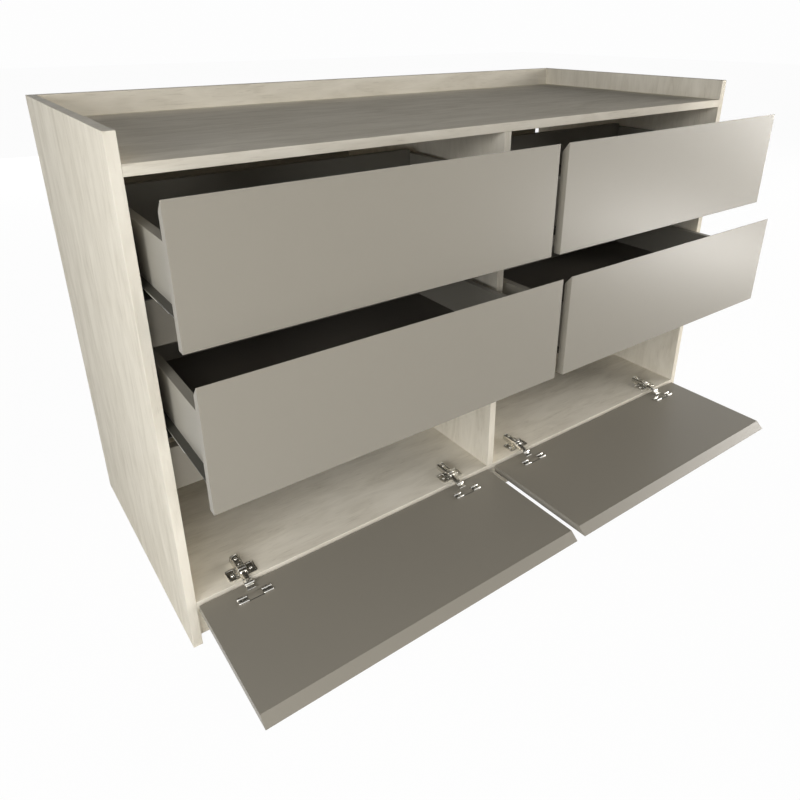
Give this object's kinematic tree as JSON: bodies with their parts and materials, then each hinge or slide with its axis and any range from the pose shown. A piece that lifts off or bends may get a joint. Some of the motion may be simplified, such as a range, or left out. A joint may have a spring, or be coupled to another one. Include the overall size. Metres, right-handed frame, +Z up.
{
  "type": "chiffonier",
  "caption": "Wide board-built chest with a raised-rim tray top, handleless bevel-edged drawers on telescopic runners and drop flaps on cup hinges below, standing on a recessed plinth.",
  "frame": {"origin": "centre of the footprint on the floor, under the centre plinth", "axes": "+X to the right seen from the front, +Y to the back, +Z up"},
  "size_m": [1.5, 0.911, 0.96],
  "materials": {
    "whitewashed_oak": "laminated board with a whitewashed oak grain, matt",
    "back_board": "thin fibre board, plain pale face",
    "beech_dowel": "fluted beech dowel",
    "taupe_lacquer": "taupe grey lacquered fibre board, matt",
    "drawer_board": "plain warm grey laminated board",
    "drawer_floor_board": "dark grey laminated fibre board",
    "runner_dark": "dark grey coated steel strip",
    "runner_bright": "zinc plated steel strip",
    "hinge_nickel": "nickel plated pressed steel",
    "screw_steel": "nickel plated steel"
  },
  "bodies": {
    "carcass": {"side_panel_left": "whitewashed_oak", "side_panel_right": "whitewashed_oak", "top_panel": "whitewashed_oak", "bottom_panel": "whitewashed_oak", "centre_divider": "whitewashed_oak", "tray_back_rail": "whitewashed_oak", "plinth_front": "whitewashed_oak", "plinth_rear": "whitewashed_oak", "plinth_centre": "whitewashed_oak", "rear_rail_left": "whitewashed_oak", "rear_rail_right": "whitewashed_oak", "back_sheet": "back_board", "carcass_dowels": "beech_dowel", "cross_rails_upper": "taupe_lacquer", "cross_rails_lower": "taupe_lacquer", "hinge_plates": "hinge_nickel", "hinge_arms": "hinge_nickel", "hinge_pins": "hinge_nickel", "hinge_plate_screws": "screw_steel", "hinge_arm_screws": "screw_steel", "runner_rail_upper_left": "runner_dark", "runner_rail_upper_right": "runner_dark", "runner_rail_lower_left": "runner_dark", "runner_rail_lower_right": "runner_dark"},
    "drawer_upper_left": {"drawer_front_upper_left": "taupe_lacquer", "drawer_side_left_upper_left": "drawer_board", "drawer_side_right_upper_left": "drawer_board", "drawer_back_upper_left": "drawer_board", "drawer_floor_upper_left": "drawer_floor_board", "runner_channel_upper_left": "runner_dark"},
    "runner_upper_left": {"runner_middle_upper_left": "runner_bright"},
    "drawer_upper_right": {"drawer_front_upper_right": "taupe_lacquer", "drawer_side_left_upper_right": "drawer_board", "drawer_side_right_upper_right": "drawer_board", "drawer_back_upper_right": "drawer_board", "drawer_floor_upper_right": "drawer_floor_board", "runner_channel_upper_right": "runner_dark"},
    "runner_upper_right": {"runner_middle_upper_right": "runner_bright"},
    "drawer_lower_left": {"drawer_front_lower_left": "taupe_lacquer", "drawer_side_left_lower_left": "drawer_board", "drawer_side_right_lower_left": "drawer_board", "drawer_back_lower_left": "drawer_board", "drawer_floor_lower_left": "drawer_floor_board", "runner_channel_lower_left": "runner_dark"},
    "runner_lower_left": {"runner_middle_lower_left": "runner_bright"},
    "drawer_lower_right": {"drawer_front_lower_right": "taupe_lacquer", "drawer_side_left_lower_right": "drawer_board", "drawer_side_right_lower_right": "drawer_board", "drawer_back_lower_right": "drawer_board", "drawer_floor_lower_right": "drawer_floor_board", "runner_channel_lower_right": "runner_dark"},
    "runner_lower_right": {"runner_middle_lower_right": "runner_bright"},
    "flap_left": {"flap_left": "taupe_lacquer", "hinge_cups_left": "hinge_nickel", "hinge_cup_screws_left": "screw_steel"},
    "links_left": {"hinge_links_left": "hinge_nickel"},
    "flap_right": {"flap_right": "taupe_lacquer", "hinge_cups_right": "hinge_nickel", "hinge_cup_screws_right": "screw_steel"},
    "links_right": {"hinge_links_right": "hinge_nickel"}
  },
  "joints": [
    {"name": "drawer_upper_left_slide", "type": "slide", "parent": "carcass", "child": "drawer_upper_left", "axis": [0, -1, 0], "range_m": [-0.15, 0.25]},
    {"name": "runner_upper_left_slide", "type": "slide", "parent": "carcass", "child": "runner_upper_left", "axis": [0, -1, 0], "range_m": [-0.075, 0.125]},
    {"name": "drawer_upper_right_slide", "type": "slide", "parent": "carcass", "child": "drawer_upper_right", "axis": [0, -1, 0], "range_m": [-0.15, 0.25]},
    {"name": "runner_upper_right_slide", "type": "slide", "parent": "carcass", "child": "runner_upper_right", "axis": [0, -1, 0], "range_m": [-0.075, 0.125]},
    {"name": "drawer_lower_left_slide", "type": "slide", "parent": "carcass", "child": "drawer_lower_left", "axis": [0, -1, 0], "range_m": [-0.186, 0.214]},
    {"name": "runner_lower_left_slide", "type": "slide", "parent": "carcass", "child": "runner_lower_left", "axis": [0, -1, 0], "range_m": [-0.093, 0.107]},
    {"name": "drawer_lower_right_slide", "type": "slide", "parent": "carcass", "child": "drawer_lower_right", "axis": [0, -1, 0], "range_m": [-0.186, 0.214]},
    {"name": "runner_lower_right_slide", "type": "slide", "parent": "carcass", "child": "runner_lower_right", "axis": [0, -1, 0], "range_m": [-0.093, 0.107]},
    {"name": "flap_left_hinge", "type": "hinge", "parent": "carcass", "child": "flap_left", "pos_m": [-0.3705, -0.2992, 0.0932], "axis": [-1, 0, 0], "range_deg": [0, 90]},
    {"name": "links_left_hinge", "type": "hinge", "parent": "carcass", "child": "links_left", "pos_m": [-0.3705, -0.2885, 0.114], "axis": [-1, 0, 0], "range_deg": [0, 103.5]},
    {"name": "flap_right_hinge", "type": "hinge", "parent": "carcass", "child": "flap_right", "pos_m": [0.3705, -0.2992, 0.0932], "axis": [-1, 0, 0], "range_deg": [0, 90]},
    {"name": "links_right_hinge", "type": "hinge", "parent": "carcass", "child": "links_right", "pos_m": [0.3705, -0.2885, 0.114], "axis": [-1, 0, 0], "range_deg": [0, 103.5]}
  ],
  "couplings": [
    {"joint": "runner_upper_left_slide", "follows": "drawer_upper_left_slide", "ratio": 0.5},
    {"joint": "runner_upper_right_slide", "follows": "drawer_upper_right_slide", "ratio": 0.5},
    {"joint": "runner_lower_left_slide", "follows": "drawer_lower_left_slide", "ratio": 0.5},
    {"joint": "runner_lower_right_slide", "follows": "drawer_lower_right_slide", "ratio": 0.5},
    {"joint": "links_left_hinge", "follows": "flap_left_hinge", "ratio": 1.15},
    {"joint": "links_right_hinge", "follows": "flap_right_hinge", "ratio": 1.15}
  ]
}
